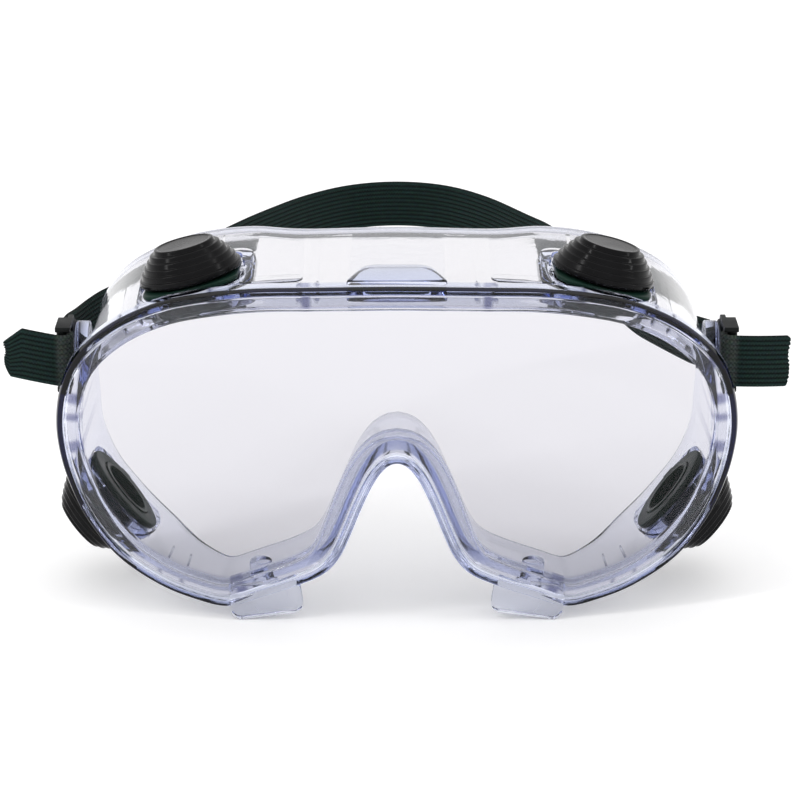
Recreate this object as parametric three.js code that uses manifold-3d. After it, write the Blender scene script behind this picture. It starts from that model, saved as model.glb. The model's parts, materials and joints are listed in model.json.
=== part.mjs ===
// Chemical splash goggles. Millimetres, +Z up, the lens faces -Y, the strap runs back along +Y.
import * as THREE from 'three';
import { mergeVertices } from 'three/addons/utils/BufferGeometryUtils.js';
import Module from 'manifold-3d';

// ---- driving dimensions -------------------------------------------------------------------
const BOW_RADIUS = 260;          // bend of the lens and rim in plan
const STATIONS = 76;             // steps round the frame
const ROUND = 20;                // steps round a vent
const WALL = 1.7;                // soft wall thickness
const RIM_BACK = 6.8;            // where the wall starts behind the rim's front
const GROOVE_FRONT = 1.7, GROOVE_BACK = 4.5, GROOVE_DEPTH = 2.4;
const LENS_FRONT = 2.05, LENS_THICK = 2.1, LENS_INSET = 2.9;
const FLANGE_THICK = 1.7;
const STRAP_WIDTH = 14, STRAP_THICK = 1.4, STRAP_LIFT = 14.5;
const PIVOT_Y = 36, BAR_X = 86.2, BAR_Y = 25.4, BAR_R = 1.3, CLEAR = 0.3;
const PLATE_X = 83.9;            // inner face of the buckle plates
const TAIL_LENGTH = 14.8;
const TAIL_RISE = { left: 10, right: -2 };   // degrees
// how far the band rides above or below its height at the buckles: distance back, rise
const BAND_RISE = {
  left: [[33, 0], [43, -1.8], [55, -3.1], [66, -2], [100, -1.4], [130, -0.8], [163.5, -0.7]],
  right: [[33, 0], [44, -5.4], [54, -7.6], [66, -8.8], [84, -8.6], [110, -4.6], [130, -2.4],
    [163.5, -0.7]],
};

// Half outline of the rim, top centre round to the nose:
// x, z, wall depth, narrowing, flange, lip, step from rim to wall
const HALF = [
  [0, 42, 57, 0.4, 5, 6.2, 1.4],
  [25, 41.3, 57.5, 0.4, 5, 6.2, 1.4],
  [38, 40.4, 58, -1.1, 5, 6.2, 1.4],
  [50, 38.3, 58.5, -1.8, 5, 6.2, 1.4],
  [60, 35.4, 59, -1.6, 5, 6.2, 1.4],
  [70, 30.3, 59, -1.6, 4.5, 6.2, 1.4],
  [78, 23.8, 58, -0.8, 3, 6.2, 2],
  [83.3, 17, 57, 0, 2.3, 6.2, 3.5],
  [86.2, 9.5, 56, 0.2, 2.1, 6.2, 4.5],
  [87.5, 1.5, 55, 0.3, 2.1, 6.2, 4.9],
  [87.2, -6, 54, 0.8, 2.1, 6.2, 4.6],
  [85.2, -14.7, 53, 1.5, 2.1, 6.2, 2.8],
  [80.6, -25.2, 51.5, 2.5, 2.3, 6.2, 1.4],
  [72.6, -35, 49.5, 2.4, 2.3, 6.2, 1.4],
  [61.7, -41.8, 41, 2, 2.5, 6.2, 1.4],
  [51.5, -45.2, 31, 1.6, 2, 6.2, 1.4],
  [43.5, -46.3, 26.5, 1.4, 2, 6.2, 1.4],
  [35, -43.1, 25, 1.3, 2, 6.3, 1.4],
  [25, -39.1, 24.5, 1.2, 2, 6.5, 1.4],
  [18.6, -35.8, 25, 1.2, 2.2, 6.8, 1.4],
  [14.6, -31.2, 25.5, 1.2, 2.5, 7, 1.4],
  [11.7, -24.8, 26, 1.2, 2.5, 7.2, 1.4],
  [9, -17.8, 26, 1, 2.5, 7.4, 1.4],
  [5.8, -10.6, 26, 1, 2.5, 7.6, 1.4],
  [2.9, -6.4, 26, 1, 2.5, 7.8, 1.4],
  [0, -4.9, 26, 1, 2.5, 8, 1.4],
];
const REST_Z = -49.6;            // lowest point of the bottom tabs
const TAB_LIFT = 5.41, TAB_TURN = 8;   // middle of a tab above that, its slant in degrees

// vents: place round the rim (x, z on the outline), distance behind the front plane
const VENTS = {
  top_left: { x: -52, z: 37.8, y: 24.8 },
  top_right: { x: 52, z: 37.8, y: 24.8 },
  lower_left: { x: -77.4, z: -29.6, y: 34 },
  lower_right: { x: 77.4, z: -29.6, y: 34 },
};
const SEAT_TOP = 1.0, SEAT_R = 14, NECK_HOLE = 8.6, LOCK_THICK = 1.6;
// rearward lean of the axis, depth in the wall, underside of the seat
const TOP_VENT = { lean: 0.08, sink: 2.6, under: -1.2 };
const LOWER_VENT = { lean: -0.12, sink: 0, under: -2.8 };
const CAP_R = 13.2, DISC_R = 7.6, CAP_LOW = 3, CAP_TOP = 11.6;

const bow = (x) => BOW_RADIUS - Math.sqrt(BOW_RADIUS * BOW_RADIUS - x * x);

// ---- solids helpers -----------------------------------------------------------------------
const wasm = await Module();
wasm.setup();

function toSolid(geometry) {
  const g = geometry.clone();
  g.deleteAttribute('normal');
  if (g.attributes.uv) g.deleteAttribute('uv');
  const m = mergeVertices(g.index ? g.toNonIndexed() : g, 1e-4);
  return new wasm.Manifold(new wasm.Mesh({
    numProp: 3,
    vertProperties: new Float32Array(m.attributes.position.array),
    triVerts: new Uint32Array(m.index.array),
  }));
}

function fromSolid(solid) {
  const mesh = solid.getMesh();
  const g = new THREE.BufferGeometry();
  const out = new Float32Array((mesh.vertProperties.length / mesh.numProp) * 3);
  for (let i = 0; i < out.length / 3; i++) {
    for (let k = 0; k < 3; k++) out[3 * i + k] = mesh.vertProperties[i * mesh.numProp + k];
  }
  g.setAttribute('position', new THREE.BufferAttribute(out, 3));
  g.setIndex(new THREE.BufferAttribute(new Uint32Array(mesh.triVerts), 1));
  g.computeVertexNormals();
  return g;
}

// rings of points joined into a closed skin; open ends are capped with a fan
function skin(rings, closed) {
  const n = rings[0].length, points = [], faces = [];
  rings.forEach((ring) => ring.forEach((p) => points.push(p[0], p[1], p[2])));
  const last = closed ? rings.length : rings.length - 1;
  for (let i = 0; i < last; i++) {
    const a = i * n, b = ((i + 1) % rings.length) * n;
    for (let k = 0; k < n; k++) {
      const l = (k + 1) % n;
      faces.push(a + k, a + l, b + l, a + k, b + l, b + k);
    }
  }
  if (!closed) {
    const e = (rings.length - 1) * n;
    for (let k = 1; k < n - 1; k++) {
      faces.push(0, k + 1, k);
      faces.push(e, e + k, e + k + 1);
    }
  }
  const g = new THREE.BufferGeometry();
  g.setAttribute('position', new THREE.BufferAttribute(new Float32Array(points), 3));
  g.setIndex(faces);
  let volume = 0;
  const P = (i) => new THREE.Vector3(points[3 * i], points[3 * i + 1], points[3 * i + 2]);
  for (let i = 0; i < faces.length; i += 3) {
    volume += P(faces[i]).dot(P(faces[i + 1]).cross(P(faces[i + 2])));
  }
  if (volume < 0) {
    for (let i = 0; i < faces.length; i += 3) {
      [faces[i + 1], faces[i + 2]] = [faces[i + 2], faces[i + 1]];
    }
    g.setIndex(faces);
  }
  return g;
}

function box(x0, x1, y0, y1, z0, z1) {
  const g = new THREE.BoxGeometry(x1 - x0, y1 - y0, z1 - z0);
  g.translate((x0 + x1) / 2, (y0 + y1) / 2, (z0 + z1) / 2);
  return g;
}

function rod(radius, from, to, steps = 16) {
  const a = new THREE.Vector3(...from), b = new THREE.Vector3(...to);
  const dir = b.clone().sub(a);
  const g = new THREE.CylinderGeometry(radius, radius, dir.length(), steps);
  const turn = new THREE.Quaternion().setFromUnitVectors(
    new THREE.Vector3(0, 1, 0), dir.clone().normalize());
  g.applyQuaternion(turn);
  const mid = a.add(b).multiplyScalar(0.5);
  g.translate(mid.x, mid.y, mid.z);
  return g;
}

function roundedShape(w, h, r, steps = 3) {
  const pts = [];
  [[1, 1, 0], [-1, 1, 90], [-1, -1, 180], [1, -1, 270]].forEach(([sx, sy, start]) => {
    for (let i = 0; i <= steps; i++) {
      const t = ((start + (90 * i) / steps) * Math.PI) / 180;
      pts.push(new THREE.Vector2(
        sx * (w / 2 - r) + r * Math.cos(t), sy * (h / 2 - r) + r * Math.sin(t)));
    }
  });
  return new THREE.Shape(pts);
}

const slab = (shape, low, high) => {
  const g = new THREE.ExtrudeGeometry(shape, { depth: high - low, bevelEnabled: false });
  g.translate(0, 0, low);
  return g;
};

// lathe about +Z from a closed list of [radius, height]
function turned(profile, steps = ROUND) {
  const pts = profile.map(([r, z]) => new THREE.Vector2(r, z));
  if (profile[0][0] > 0) pts.push(pts[0].clone());
  const g = new THREE.LatheGeometry(pts, steps);
  g.rotateX(Math.PI / 2);
  return g;
}

// ---- the outline --------------------------------------------------------------------------
function catmull(p0, p1, p2, p3, t) {
  return p1.map((_, k) => 0.5 * (2 * p1[k] + (p2[k] - p0[k]) * t
    + (2 * p0[k] - 5 * p1[k] + 4 * p2[k] - p3[k]) * t * t
    + (3 * p1[k] - p0[k] - 3 * p2[k] + p3[k]) * t * t * t));
}

function outline(count) {
  const mirror = HALF.slice(1, -1).reverse().map(([x, ...rest]) => [-x, ...rest]);
  const loop = [...HALF, ...mirror];
  const fine = [];
  loop.forEach((p1, i) => {
    const at = (j) => loop[(i + j + loop.length) % loop.length];
    for (let s = 0; s < 12; s++) fine.push(catmull(at(-1), p1, at(1), at(2), s / 12));
  });
  const length = [0];
  fine.forEach((p, i) => {
    const q = fine[(i + 1) % fine.length];
    const tight = p[1] < 0 && Math.abs(p[0]) < 50 ? 1.7 : 1;
    length.push(length[i] + tight * Math.hypot(q[0] - p[0], q[1] - p[1]));
  });
  const out = [];
  const total = length[fine.length];
  for (let s = 0, i = 0; s < count; s++) {
    const want = (total * s) / count;
    while (length[i + 1] < want) i++;
    const t = (want - length[i]) / (length[i + 1] - length[i]);
    const p = fine[i], q = fine[(i + 1) % fine.length];
    out.push(p.map((v, k) => v + (q[k] - v) * t));
  }
  return out.map((p, i) => {
    const a = out[(i - 1 + count) % count], b = out[(i + 1) % count];
    const tx = b[0] - a[0], tz = b[1] - a[1], l = Math.hypot(tx, tz);
    return { x: p[0], z: p[1], nx: -tz / l, nz: tx / l, depth: p[2], narrow: p[3],
      flange: p[4], lip: p[5], step: p[6] };
  });
}

function outward(ring) {
  const top = ring[0];
  if (top.nz < 0) ring.forEach((s) => { s.nx = -s.nx; s.nz = -s.nz; });
  return ring;
}

function inset(ring, by) {
  return ring.map((s) => new THREE.Vector2(s.x - s.nx * by, s.z - s.nz * by));
}

// ---- soft frame ---------------------------------------------------------------------------
function section(s) {
  const out = -s.step, back = -s.step - s.narrow;
  const at = (n) => [s.x + s.nx * n, s.z + s.nz * n];
  const rim = (n, y) => [at(n)[0], bow(at(n)[0]) + y, at(n)[1]];
  const rear = (n, y) => [at(n)[0], y, at(n)[1]];
  return [
    rim(0, 1.2), rim(0, RIM_BACK - 1.2), rim(out, RIM_BACK),
    rear(back, s.depth), rear(back - s.flange, s.depth),
    rear(back - s.flange, s.depth - FLANGE_THICK), rear(back - WALL, s.depth - FLANGE_THICK),
    rim(out - WALL, RIM_BACK + 1.6), rim(-s.lip, RIM_BACK), rim(-s.lip, GROOVE_BACK),
    rim(-GROOVE_DEPTH, GROOVE_BACK), rim(-GROOVE_DEPTH, GROOVE_FRONT),
    rim(-s.lip, GROOVE_FRONT), rim(-s.lip, 0), rim(-1.2, 0),
  ];
}

// a frame on the outside of the wall, its +Z pointing out
function wallMatrix({ x, z, y }, lean, sink) {
  const ring = outward(outline(400));
  let best = ring[0];
  ring.forEach((s) => {
    if (Math.hypot(s.x - x, s.z - z) < Math.hypot(best.x - x, best.z - z)) best = s;
  });
  const out = new THREE.Vector3(best.nx, lean, best.nz).normalize();
  const run = best.narrow * ((y - RIM_BACK - bow(best.x))
    / (best.depth - RIM_BACK - bow(best.x)));
  const off = -best.step - run - sink;
  const side = new THREE.Vector3(0, 1, 0).cross(out).normalize();
  const along = out.clone().cross(side);
  const m = new THREE.Matrix4().makeBasis(side, along, out);
  m.setPosition(best.x + best.nx * off, y, best.z + best.nz * off);
  return m;
}

function ventKind(vent) {
  return vent.z > 0 ? TOP_VENT : LOWER_VENT;
}

function ventMatrix(vent) {
  const { lean, sink } = ventKind(vent);
  return wallMatrix(vent, lean, sink);
}

function sideLug(sign) {
  // snap stud that the buckle turns on: shank, head and foot on the side wall
  const at = (x) => [sign * x, PIVOT_Y, STRAP_LIFT];
  const foot = toSolid(rod(6.2, at(79.8), at(PLATE_X - CLEAR), 20));
  const shank = toSolid(rod(3, at(79.8), at(PLATE_X + 2.2)));
  const head = toSolid(rod(4.4, at(PLATE_X + 1.7), at(PLATE_X + 2.3)));
  return foot.add(shank).add(head);
}

function frameSolid() {
  const ring = outward(outline(STATIONS));
  let body = toSolid(skin(ring.map(section), true));
  const front = bowedSlab(-20, GROOVE_BACK + 0.9);
  Object.values(VENTS).forEach((vent) => {
    const m = ventMatrix(vent);
    const { under } = ventKind(vent);
    const cut = (solid) => { body = body.subtract(solid); };
    let seat = toSolid(turned([[0, under], [SEAT_R, under], [SEAT_R, SEAT_TOP],
      [0, SEAT_TOP]]).applyMatrix4(m));
    if (vent.z > 0) {
      // the top seats are square and sunk in a well in the wall
      seat = toSolid(slab(roundedShape(28.4, 28.4, 6), under, SEAT_TOP).applyMatrix4(m));
      seat = seat.add(toSolid(slab(roundedShape(30, 30, 6.8), -4.5, -0.2)
        .applyMatrix4(wallMatrix(vent, -0.04, 0)))).subtract(front);
    }
    body = body.add(seat);
    cut(toSolid(turned([[0, -9], [SEAT_R - 0.6, -9], [SEAT_R - 0.6, under],
      [0, under]]).applyMatrix4(m)));
    cut(toSolid(turned([[0, SEAT_TOP], [SEAT_R - 0.1, SEAT_TOP], [SEAT_R - 0.1, 9],
      [0, 9]]).applyMatrix4(m)));
    cut(toSolid(slab(roundedShape(25.8, 25.8, 5.4), SEAT_TOP, 9).applyMatrix4(m)));
    cut(toSolid(turned([[0, -9], [NECK_HOLE, -9], [NECK_HOLE, 9], [0, 9]]).applyMatrix4(m)));
  });
  // raised pad on the top wall
  const pad = slab(new THREE.Shape([[12.7, -6], [12.2, -4.5], [8.6, 5.2], [7, 6.6], [-7, 6.6],
    [-8.6, 5.2], [-12.2, -4.5], [-12.7, -6], [-12, -6.6], [12, -6.6]].reverse()
    .map(([x, y]) => new THREE.Vector2(x, y))), 36.8, 41.4);
  pad.translate(0, 14.4, 0);
  body = body.add(toSolid(pad));
  [-1, 1].forEach((sign) => {
    // bottom tab below the rim
    const tab = slab(roundedShape(18.6, 9, 2.6), 0, 3.4);
    tab.rotateX(Math.PI / 2);
    tab.rotateY((sign * TAB_TURN * Math.PI) / 180);
    tab.translate(sign * 33.8, bow(33.8) + 4.6, REST_Z + TAB_LIFT);
    body = body.add(toSolid(tab).subtract(outlinePrism(GROOVE_DEPTH)));
    // peg inside the bottom wall
    body = body.add(toSolid(rod(2.9, [sign * 35.3, 12, -40.8], [sign * 35.3, 12, -36.2], 14)));
    body = body.add(sideLug(sign));
  });
  return body;
}

// ---- lens ---------------------------------------------------------------------------------
// a prism along Y of the outline drawn in by some distance
function outlinePrism(by) {
  const prism = new THREE.ExtrudeGeometry(
    new THREE.Shape(inset(outward(outline(STATIONS)), by)), { depth: 60, bevelEnabled: false });
  prism.rotateX(Math.PI / 2);
  prism.translate(0, 40, 0);
  return toSolid(prism);
}

// a slab that follows the bow in plan, from one distance behind the front plane to another
function bowedSlab(front, back) {
  const sheet = [];
  for (let i = 0; i <= 30; i++) {
    const x = -87 + (174 * i) / 30;
    sheet.push([x, bow(x) + front]);
  }
  for (let i = 30; i >= 0; i--) {
    const x = -87 + (174 * i) / 30;
    sheet.push([x, bow(x) + back]);
  }
  const plan = new THREE.Shape(sheet.map(([x, y]) => new THREE.Vector2(x, y)));
  const g = new THREE.ExtrudeGeometry(plan, { depth: 120, bevelEnabled: false });
  g.translate(0, 0, -60);
  return toSolid(g);
}

function lensGeometry() {
  return fromSolid(outlinePrism(LENS_INSET)
    .intersect(bowedSlab(LENS_FRONT, LENS_FRONT + LENS_THICK)));
}

// ---- vents --------------------------------------------------------------------------------
function capGeometry() {
  return turned([
    [0, 7], [7.4, 7], [7.4, 4.9], [6.85, 4.6], [6.85, 3.7], [8.4, 3.7], [8.4, 4.3],
    [11.8, 4.3], [11.8, CAP_LOW], [CAP_R, CAP_LOW], [CAP_R, 4.7], [12.6, 4.9], [12.2, 6.3],
    [11.6, 6.4], [11.2, 7.7], [10.6, 7.8], [10.1, 9.1], [9.5, 9.2], [9, 10.4],
    [DISC_R + 0.3, 10.5], [DISC_R, CAP_TOP], [0, CAP_TOP]]);
}

function collarGeometry() {
  return turned([
    [5.4, -2.5], [6.9, -2.5], [6.9, 2.7], [11.3, 2.7], [11.3, 3.35], [6.5, 3.35], [6.5, 5.2],
    [7.05, 5.4], [7.05, 6.1], [5.4, 6.1]]);
}

function plateGeometry(under) {
  const plate = toSolid(slab(roundedShape(24.6, 24.6, 5), SEAT_TOP + CLEAR, 2.4));
  const neck = toSolid(turned([[0, under - 2.2], [8.3, under - 2.2], [8.3, 2], [0, 2]]));
  const hole = toSolid(turned([[0, -9], [7.2, -9], [7.2, 9], [0, 9]]));
  return fromSolid(plate.add(neck).subtract(hole));
}

function lockRingGeometry(under) {
  const high = under - CLEAR, low = high - LOCK_THICK;
  const flange = toSolid(turned([[8.6, low], [12.6, low], [12.6, high], [8.6, high]]));
  const ear = toSolid(box(-1.9, 1.9, 11.6, 13, low, high));
  return fromSolid(flange.add(ear));
}

// ---- strap and buckles --------------------------------------------------------------------
function bandRise(side, y) {
  const table = BAND_RISE[side];
  if (y <= table[0][0]) return table[0][1];
  for (let i = 1; i < table.length; i++) {
    const [y0, r0] = table[i - 1], [y1, r1] = table[i];
    if (y <= y1) {
      const t = (y - y0) / (y1 - y0);
      return r0 + (r1 - r0) * t * t * (3 - 2 * t);
    }
  }
  return table[table.length - 1][1];
}

function strapPath() {
  const wrap = BAR_R + CLEAR + STRAP_THICK / 2;
  const half = [];
  const tip = BAR_X + TAIL_LENGTH;
  for (let i = 0; i <= 4; i++) {
    const x = tip - ((tip - BAR_X) * i) / 4;
    half.push([x, BAR_Y - wrap + ((x - BAR_X) / TAIL_LENGTH) ** 2 * 1.6, 1 - i / 4]);
  }
  for (let i = 1; i <= 6; i++) {
    const a = ((90 * i) / 6) * (Math.PI / 180);
    half.push([BAR_X - wrap * Math.sin(a), BAR_Y - wrap * Math.cos(a), 0]);
  }
  const back = [[BAR_X - wrap, BAR_Y + 0.6], [85.3, 28.2], [87.1, 31], [87.3, 36.5], [87.2, 41.5],
    [86.3, 49], [84.2, 57], [79.2, 66], [70.5, 81], [60.5, 100], [48.5, 119], [38.5, 134.5],
    [27, 149.5], [14, 160], [0, 163.5]];
  const knots = [[BAR_X - wrap, BAR_Y - 2], ...back, [-14, 160]];
  for (let i = 1; i < knots.length - 2; i++) {
    for (let s = i === 1 ? 0 : 1; s <= 4; s++) {
      half.push([...catmull(knots[i - 1], knots[i], knots[i + 1], knots[i + 2], s / 4), 0]);
    }
  }
  return half;
}

function strapGeometry() {
  const half = strapPath();
  const left = half.map(([x, y, tail]) => [-x, y, tail, 'left']);
  const right = half.map(([x, y, tail]) => [x, y, tail, 'right']).reverse().slice(1);
  const path = [...left, ...right];
  const rings = path.map(([x, y, tail, side], i) => {
    const a = path[Math.max(i - 1, 0)], b = path[Math.min(i + 1, path.length - 1)];
    const l = Math.hypot(b[0] - a[0], b[1] - a[1]);
    const nx = (b[1] - a[1]) / l, ny = -(b[0] - a[0]) / l;
    const t = STRAP_THICK / 2, h = STRAP_WIDTH / 2;
    const rise = tail * TAIL_LENGTH * Math.tan((TAIL_RISE[side] * Math.PI) / 180);
    const z = STRAP_LIFT + rise + bandRise(side, y);
    return [[x + nx * t, y + ny * t, z - h], [x + nx * t, y + ny * t, z + h],
      [x - nx * t, y - ny * t, z + h], [x - nx * t, y - ny * t, z - h]];
  });
  return skin(rings, false);
}

function buckleGeometry(sign) {
  const z = STRAP_LIFT, h = STRAP_WIDTH / 2 + 0.5, arm = 1.3;
  const near = PLATE_X, far = PLATE_X + 1.4, tip = BAR_X + 1.5;
  const X = (a, b) => [Math.min(sign * a, sign * b), Math.max(sign * a, sign * b)];
  const at = (x, y = PIVOT_Y) => [sign * x, y, z];
  let body = toSolid(rod(6.6, at(near), at(far), ROUND));
  body = body.add(toSolid(box(...X(near, far), 30.2, PIVOT_Y - 1, z - h - arm, z + h + arm)));
  body = body.subtract(toSolid(rod(3.07, at(near - 3), at(far + 3))));
  [-1, 1].forEach((end) => {
    const z0 = Math.min(z + end * h, z + end * (h + arm));
    body = body.add(toSolid(box(...X(near, tip), 23.6, 32.4, z0, z0 + arm)));
  });
  body = body.add(toSolid(rod(BAR_R, [sign * BAR_X, BAR_Y, z - h - 0.4],
    [sign * BAR_X, BAR_Y, z + h + 0.4], 14)));
  return fromSolid(body);
}

// ---- materials ----------------------------------------------------------------------------
const clearPvc = () => new THREE.MeshStandardMaterial({
  color: 0xc4cae6, roughness: 0.2, metalness: 0, transparent: true, opacity: 0.45 });
const clearLens = () => new THREE.MeshStandardMaterial({
  color: 0xe4e6f4, roughness: 0.05, metalness: 0, transparent: true, opacity: 0.3 });
const blackPlastic = () => new THREE.MeshStandardMaterial({
  color: 0x17171a, roughness: 0.3, metalness: 0 });
const greenPlastic = () => new THREE.MeshStandardMaterial({
  color: 0x163c2e, roughness: 0.45, metalness: 0 });
const elastic = () => new THREE.MeshStandardMaterial({
  color: 0x1e2b26, roughness: 0.9, metalness: 0 });

// ---- assembly -----------------------------------------------------------------------------
const goggles = new THREE.Group();
goggles.name = 'splash_goggles';

function add(name, geometry, material) {
  const mesh = new THREE.Mesh(geometry, material);
  mesh.name = name;
  goggles.add(mesh);
}

add('frame', fromSolid(frameSolid()), clearPvc());
add('lens', lensGeometry(), clearLens());
Object.entries(VENTS).forEach(([place, vent]) => {
  const m = ventMatrix(vent);
  const { under } = ventKind(vent);
  add(`vent_cap_${place}`, capGeometry().applyMatrix4(m), blackPlastic());
  add(`vent_collar_${place}`, collarGeometry().applyMatrix4(m), blackPlastic());
  add(`vent_plate_${place}`, plateGeometry(under).applyMatrix4(m), greenPlastic());
  add(`vent_lock_ring_${place}`, lockRingGeometry(under).applyMatrix4(m), greenPlastic());
});
add('buckle_left', buckleGeometry(-1), blackPlastic());
add('buckle_right', buckleGeometry(1), blackPlastic());
add('strap', strapGeometry(), elastic());

// origin: under the middle of the whole object
const bounds = new THREE.Box3();
goggles.children.forEach((mesh) => {
  mesh.geometry.computeBoundingBox();
  bounds.union(mesh.geometry.boundingBox);
});
const middle = bounds.getCenter(new THREE.Vector3());
goggles.children.forEach((mesh) => {
  mesh.geometry.translate(-middle.x, -middle.y, -bounds.min.z);
});

export default goggles;
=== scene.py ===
import json
import math

import bmesh
import bpy
from mathutils import Matrix, Vector
from mathutils.kdtree import KDTree

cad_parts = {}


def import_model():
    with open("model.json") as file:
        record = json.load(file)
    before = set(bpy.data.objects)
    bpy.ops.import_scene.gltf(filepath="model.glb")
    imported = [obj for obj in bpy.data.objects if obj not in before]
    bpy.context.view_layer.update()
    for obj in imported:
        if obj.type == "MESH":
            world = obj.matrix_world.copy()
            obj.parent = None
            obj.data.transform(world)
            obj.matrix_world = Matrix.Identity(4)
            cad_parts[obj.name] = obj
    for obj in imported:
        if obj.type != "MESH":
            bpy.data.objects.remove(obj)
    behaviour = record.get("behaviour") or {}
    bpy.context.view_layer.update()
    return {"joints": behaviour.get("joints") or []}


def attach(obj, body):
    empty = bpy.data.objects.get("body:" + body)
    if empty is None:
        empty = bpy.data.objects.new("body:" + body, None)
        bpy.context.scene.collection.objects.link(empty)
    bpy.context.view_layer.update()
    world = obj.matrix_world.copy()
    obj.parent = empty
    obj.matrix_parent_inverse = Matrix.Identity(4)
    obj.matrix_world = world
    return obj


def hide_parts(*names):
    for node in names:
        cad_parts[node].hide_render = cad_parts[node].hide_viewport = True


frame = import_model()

# ---- shared dimensions, in millimetres; x right, y back from the front plane, z up ----------
SHIFT_Y, SHIFT_Z = -82.1, 49.579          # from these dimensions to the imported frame
BOW_RADIUS = 260.0
RIM_BACK, WALL = 6.8, 1.7
GROOVE_FRONT, GROOVE_BACK, GROOVE_FLOOR = 1.65, 4.55, 2.4
LENS_FRONT, LENS_BACK, LENS_INSET = 2.05, 4.15, 2.9
STRAP_LIFT, STRAP_WIDTH, STRAP_THICK = 14.5, 14.0, 1.4
CORDS, CORD_HEIGHT = 11, 0.24             # ribs across the elastic
THREAD_RATE = 7400                        # phase of the cross threads, radians per metre
PIVOT_Y, BAR_X, BAR_Y, BAR_R, PLATE_X = 36.0, 86.2, 25.4, 1.3, 83.9
PLATE_THICK, SHANK_R, EYE_R = 1.4, 3.0, 3.07
# rearward lean of the axis, depth in the wall, underside of the seat
TOP_VENT, LOWER_VENT = (0.08, 2.6, -1.2), (-0.12, 0.0, -2.8)
SEAT_R, SEAT_TOP, NECK_HOLE = 14, 1.0, 8.6
SHADE_ANGLE = 35.0                        # degrees; edges sharper than this stay crisp
STATIONS, SPLINE_STEPS = 460, 24          # points round the rim, and per span of its spline
TINY = 1e-6

# Half outline of the rim, top centre round to the nose:
# x, z, wall depth, narrowing, flange, lip, step from rim to wall
HALF = [
    (0, 42, 57, 0.4, 5, 6.2, 1.4), (25, 41.3, 57.5, 0.4, 5, 6.2, 1.4),
    (38, 40.4, 58, -1.1, 5, 6.2, 1.4), (50, 38.3, 58.5, -1.8, 5, 6.2, 1.4),
    (60, 35.4, 59, -1.6, 5, 6.2, 1.4), (70, 30.3, 59, -1.6, 4.5, 6.2, 1.4),
    (78, 23.8, 58, -0.8, 3, 6.2, 2), (83.3, 17, 57, 0, 2.3, 6.2, 3.5),
    (86.2, 9.5, 56, 0.2, 2.1, 6.2, 4.5), (87.5, 1.5, 55, 0.3, 2.1, 6.2, 4.9),
    (87.2, -6, 54, 0.8, 2.1, 6.2, 4.6), (85.2, -14.7, 53, 1.5, 2.1, 6.2, 2.8),
    (80.6, -25.2, 51.5, 2.5, 2.3, 6.2, 1.4), (72.6, -35, 49.5, 2.4, 2.3, 6.2, 1.4),
    (61.7, -41.8, 41, 2, 2.5, 6.2, 1.4), (51.5, -45.2, 31, 1.6, 2, 6.2, 1.4),
    (43.5, -46.3, 26.5, 1.4, 2, 6.2, 1.4), (35, -43.1, 25, 1.3, 2, 6.3, 1.4),
    (25, -39.1, 24.5, 1.2, 2, 6.5, 1.4), (18.6, -35.8, 25, 1.2, 2.2, 6.8, 1.4),
    (14.6, -31.2, 25.5, 1.2, 2.5, 7, 1.4), (11.7, -24.8, 26, 1.2, 2.5, 7.2, 1.4),
    (9, -17.8, 26, 1, 2.5, 7.4, 1.4), (5.8, -10.6, 26, 1, 2.5, 7.6, 1.4),
    (2.9, -6.4, 26, 1, 2.5, 7.8, 1.4), (0, -4.9, 26, 1, 2.5, 8, 1.4),
]
VENTS = {
    "top_left": (-52, 37.8, 24.8), "top_right": (52, 37.8, 24.8),
    "lower_left": (-77.4, -29.6, 34), "lower_right": (77.4, -29.6, 34),
}


def bow(x):
    x = min(abs(x), 120.0)
    return BOW_RADIUS - math.sqrt(BOW_RADIUS * BOW_RADIUS - x * x)


def world(p):
    return Vector((p[0] / 1000, (p[1] + SHIFT_Y) / 1000, (p[2] + SHIFT_Z) / 1000))


# ---- mesh helpers ---------------------------------------------------------------------------
def add_object(name, data):
    obj = bpy.data.objects.new(name, data)
    bpy.context.scene.collection.objects.link(obj)
    return obj


def face_out(mesh, merge=False):
    """Turn every face outward, first joining the points that coincide if asked."""
    bm = bmesh.new()
    bm.from_mesh(mesh)
    if merge:
        bmesh.ops.remove_doubles(bm, verts=bm.verts, dist=1e-7)
    bmesh.ops.recalc_face_normals(bm, faces=bm.faces)
    if bm.calc_volume(signed=True) < 0:
        bmesh.ops.reverse_faces(bm, faces=bm.faces)
    bm.to_mesh(mesh)
    bm.free()


def make(name, verts, faces, angle=SHADE_ANGLE):
    mesh = bpy.data.meshes.new(name)
    mesh.from_pydata([world(v) for v in verts], [], faces)
    mesh.update()
    face_out(mesh, merge=True)
    obj = add_object(name, mesh)
    finish_shading(obj, angle)
    return obj


def finish_shading(obj, angle=SHADE_ANGLE):
    mesh = obj.data
    for poly in mesh.polygons:
        poly.use_smooth = True
    mesh.set_sharp_from_angle(angle=math.radians(angle))


def loft(rings, closed=True, caps=False):
    """Skin a row of rings; closed joins the last to the first, caps fills both ends."""
    n = len(rings[0])
    verts = [p for ring in rings for p in ring]
    faces = []
    count = len(rings)
    for i in range(count if closed else count - 1):
        a, b = i * n, ((i + 1) % count) * n
        for k in range(n):
            j = (k + 1) % n
            faces.append((a + k, a + j, b + j, b + k))
    if caps and not closed:
        faces.append(tuple(range(n))[::-1])
        faces.append(tuple((count - 1) * n + k for k in range(n)))
    return verts, faces


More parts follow.
